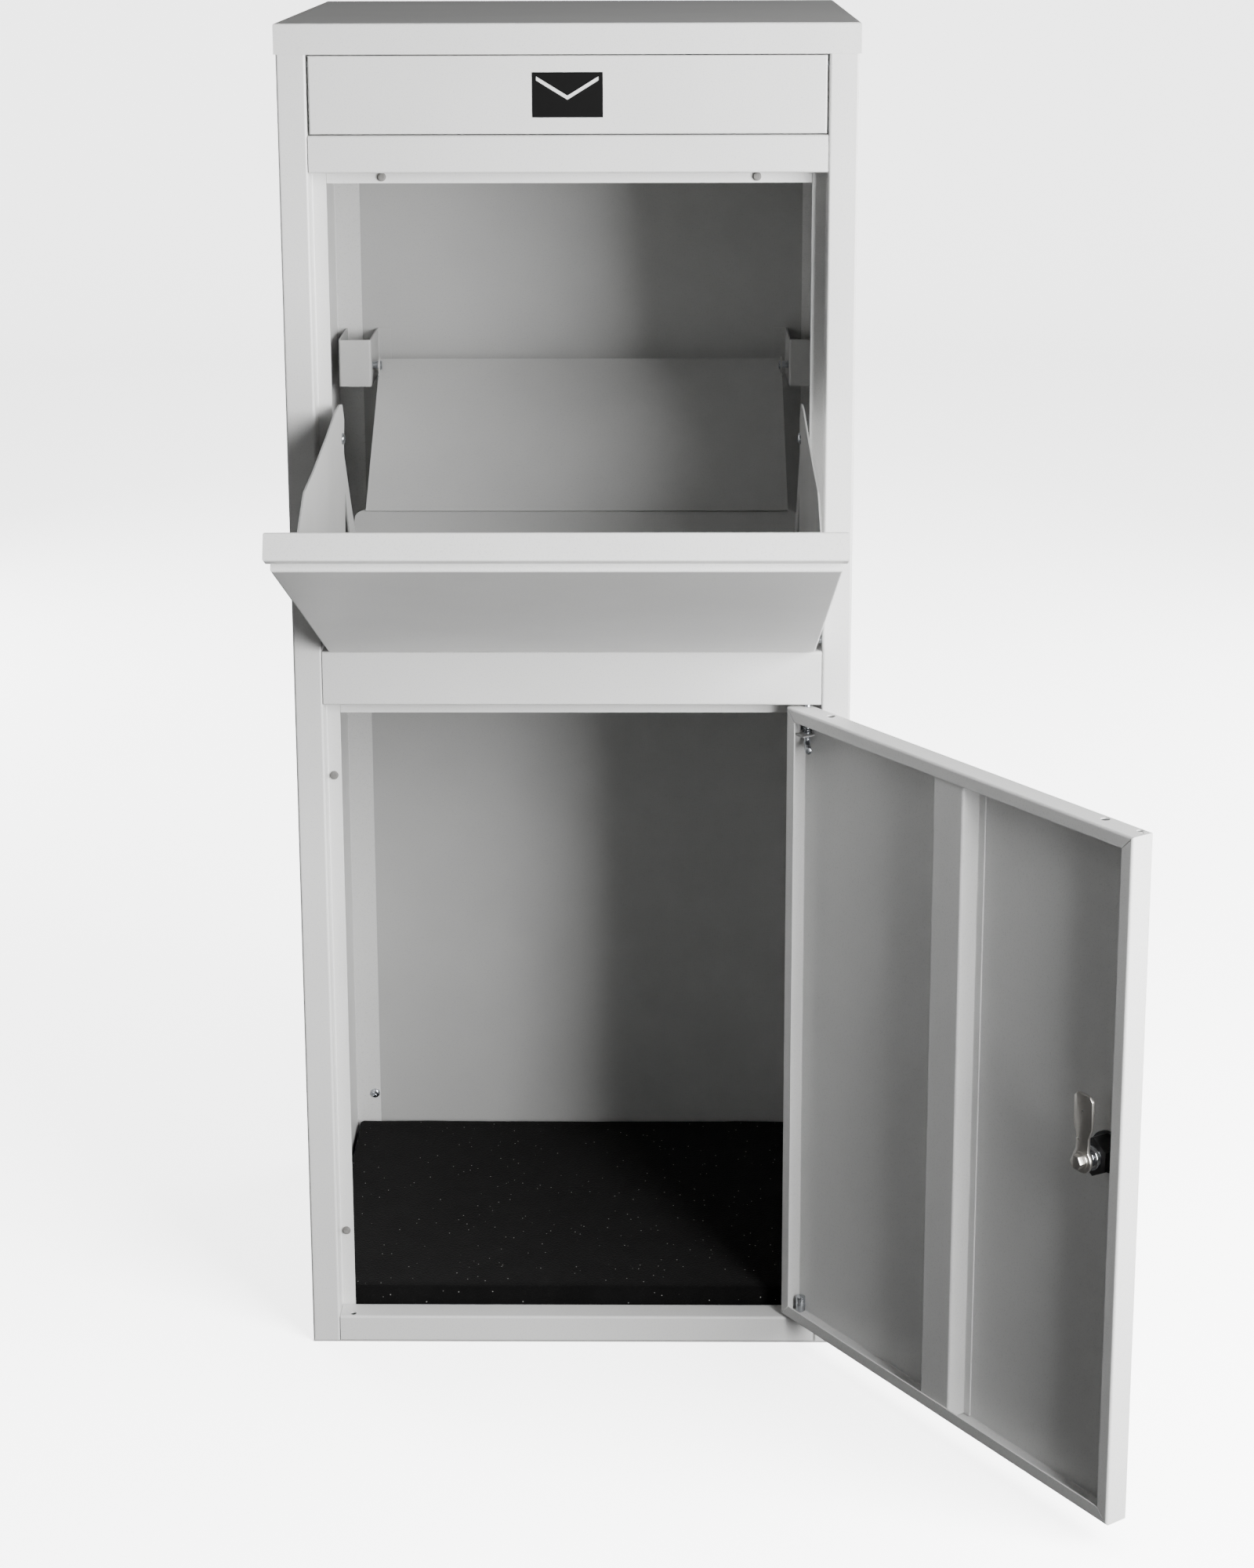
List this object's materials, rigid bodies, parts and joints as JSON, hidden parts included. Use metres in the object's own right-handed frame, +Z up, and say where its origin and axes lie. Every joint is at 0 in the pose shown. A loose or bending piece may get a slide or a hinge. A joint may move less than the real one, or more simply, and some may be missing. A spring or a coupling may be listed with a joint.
{
  "type": "parcel drop box",
  "caption": "Free-standing sheet steel drop box with a push-in letter flap, a tilting parcel hopper with guard plate, and a lockable pick-up door over a foam mat.",
  "frame": {"origin": "centre of the cabinet's underside, on the ground", "axes": "+X to the right seen from the front, +Y from the front to the back, +Z up; the front plane is at Y = -0.179"},
  "size_m": [0.6128, 0.6805, 1.055],
  "materials": {
    "powder_coat": "light grey powder coat, satin, fine orange peel",
    "powder_coat_inside": "light grey powder coat, satin, thinner and more matt",
    "foam": "black open-cell polyurethane foam",
    "buffer_rubber": "soft grey translucent rubber, matt",
    "black_rubber": "black rubber, matt",
    "zinc": "bright zinc plated steel",
    "spring_steel": "drawn spring steel wire",
    "symbol_black": "matt black vinyl film",
    "nylon": "natural nylon",
    "chrome": "polished chrome plate",
    "nickel": "nickel plated steel, lightly brushed",
    "black_zinc": "black coated die-cast zinc"
  },
  "bodies": {
    "cabinet": {"left_side_panel": "powder_coat", "right_side_panel": "powder_coat", "back_panel": "powder_coat_inside", "top_cap": "powder_coat", "base_tray": "powder_coat_inside", "bottom_rail": "powder_coat", "middle_rail": "powder_coat", "letter_rail": "powder_coat", "floor_mat": "foam", "door_buffers": "buffer_rubber", "flap_buffers": "buffer_rubber", "back_panel_screws": "zinc", "left_guard_bracket": "powder_coat_inside", "right_guard_bracket": "powder_coat_inside"},
    "letter_flap": {"letter_flap": "powder_coat", "letter_flap_rod": "zinc", "letter_flap_spring": "spring_steel", "envelope_symbol": "symbol_black"},
    "parcel_flap": {"flap_pan": "powder_coat", "flap_grip_rail": "powder_coat", "left_wing": "powder_coat_inside", "right_wing": "powder_coat_inside", "hopper_floor": "powder_coat_inside", "stop_screws": "zinc", "stop_sleeves": "black_rubber", "flap_hinge_pins": "zinc"},
    "guard": {"guard_plate": "powder_coat_inside", "guard_pins": "zinc"},
    "door": {"door_pan": "powder_coat", "door_stiffener": "powder_coat", "upper_hinge_bracket": "powder_coat", "hinge_pin_spring": "spring_steel", "lower_hinge_pin": "zinc", "hinge_washer": "nylon", "lock_barrel": "chrome", "lock_nut": "black_zinc"},
    "hinge_pin": {"upper_hinge_pin": "zinc"},
    "lock_rotor": {"lock_plug": "chrome", "lock_cam": "nickel", "cam_screw": "nickel", "cam_washer": "nickel"}
  },
  "joints": [
    {"name": "letter_flap_hinge", "type": "hinge", "parent": "cabinet", "child": "letter_flap", "pos_m": [0, -0.1725, 1.025], "axis": [1, 0, 0], "range_deg": [0, 60], "stiffness_Nm_per_rad": 0.08, "springref_deg": -51.57},
    {"name": "parcel_flap_hinge", "type": "hinge", "parent": "cabinet", "child": "parcel_flap", "pos_m": [0, -0.174, 0.588], "axis": [-1, 0, 0], "range_deg": [0, 66]},
    {"name": "guard_hinge", "type": "hinge", "parent": "cabinet", "child": "guard", "pos_m": [0, 0.121, 0.752], "axis": [1, 0, 0], "range_deg": [0, 56.69]},
    {"name": "door_hinge", "type": "hinge", "parent": "cabinet", "child": "door", "pos_m": [0.1815, -0.174, 0.0222], "axis": [0, 0, 1], "range_deg": [-125, 2]},
    {"name": "hinge_pin_slide", "type": "slide", "parent": "door", "child": "hinge_pin", "axis": [0, 0, -1], "range_m": [0, 0.007], "stiffness_N_per_m": 400, "springref_m": -0.008, "deforming": ["hinge_pin_spring"]},
    {"name": "lock_turn", "type": "hinge", "parent": "door", "child": "lock_rotor", "pos_m": [0.38147, -0.45087, 0.294], "axis": [0.8192, 0.5736, 0], "range_deg": [0, 90]}
  ],
  "couplings": [
    {"joint": "guard_hinge", "follows": "parcel_flap_hinge", "ratio": 0.85585}
  ]
}
